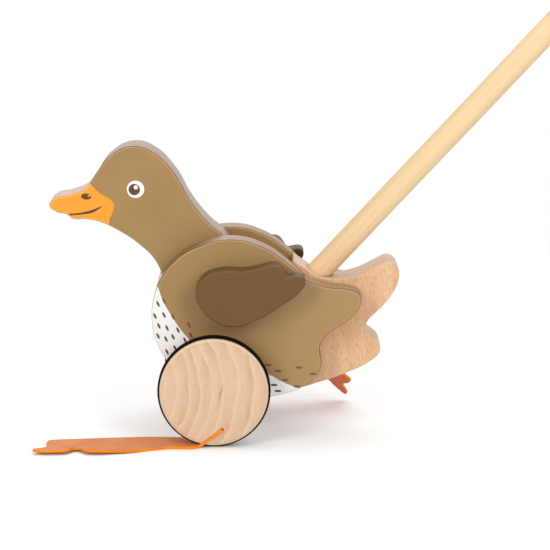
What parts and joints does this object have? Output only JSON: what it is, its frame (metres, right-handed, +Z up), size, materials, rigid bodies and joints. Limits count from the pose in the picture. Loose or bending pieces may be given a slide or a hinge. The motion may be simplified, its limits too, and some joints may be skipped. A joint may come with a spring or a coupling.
{
  "type": "push-along toy duck",
  "caption": "Wooden push-along duck: flat boards glued side by side, wheels on an axle, strap feet that slap the floor as the wheels turn, and a slanted push stick.",
  "frame": {"origin": "on the floor, under the middle of the axle", "axes": "+Z up, the duck faces -X, its left side is -Y; the push stick leans towards +X"},
  "size_m": [0.5195, 0.1392, 0.4698],
  "materials": {
    "tan_print": "satin print on wood, natural edges",
    "brown_stain": "satin dark stain",
    "beech": "natural, clear satin lacquer",
    "pale_beech": "natural, clear satin lacquer",
    "birch": "natural, sanded smooth",
    "rubber": "matt black",
    "orange_leather": "dyed through, smooth",
    "felt": "pressed felt"
  },
  "bodies": {
    "duck": {"head_board": "tan_print", "tail_block": "beech", "left_flank": "tan_print", "right_flank": "tan_print", "left_wing": "brown_stain", "right_wing": "brown_stain", "push_stick": "birch", "neck_dowel": "birch", "breast_dowel": "birch", "rump_dowel": "birch", "tail_dowel": "birch", "left_wing_dowel_front": "birch", "left_wing_dowel_rear": "birch", "right_wing_dowel_front": "birch", "right_wing_dowel_rear": "birch"},
    "wheelset": {"axle": "birch", "left_wheel": "pale_beech", "right_wheel": "pale_beech", "left_hub": "pale_beech", "right_hub": "pale_beech", "left_tyre": "rubber", "right_tyre": "rubber", "left_washer": "felt", "right_washer": "felt", "left_foot_tab": "orange_leather", "right_foot_tab": "orange_leather"},
    "left_foot": {"left_foot": "orange_leather"},
    "right_foot": {"right_foot": "orange_leather"}
  },
  "joints": [
    {"name": "axle_spin", "type": "hinge", "parent": "duck", "child": "wheelset", "pos_m": [0, 0, 0.035], "axis": [0, 1, 0], "continuous": true, "deforming": ["left_foot", "right_foot"]},
    {"name": "left_foot_lift", "type": "hinge", "parent": "wheelset", "child": "left_foot", "pos_m": [-0.00975, -0.04495, 0.0008], "axis": [0, 1, 0], "range_deg": [0, 10], "stiffness_Nm_per_rad": 0.05},
    {"name": "right_foot_lift", "type": "hinge", "parent": "wheelset", "child": "right_foot", "pos_m": [0.01771, 0.04495, 0.06896], "axis": [0, -1, 0], "range_deg": [0, 60], "stiffness_Nm_per_rad": 0.05}
  ]
}
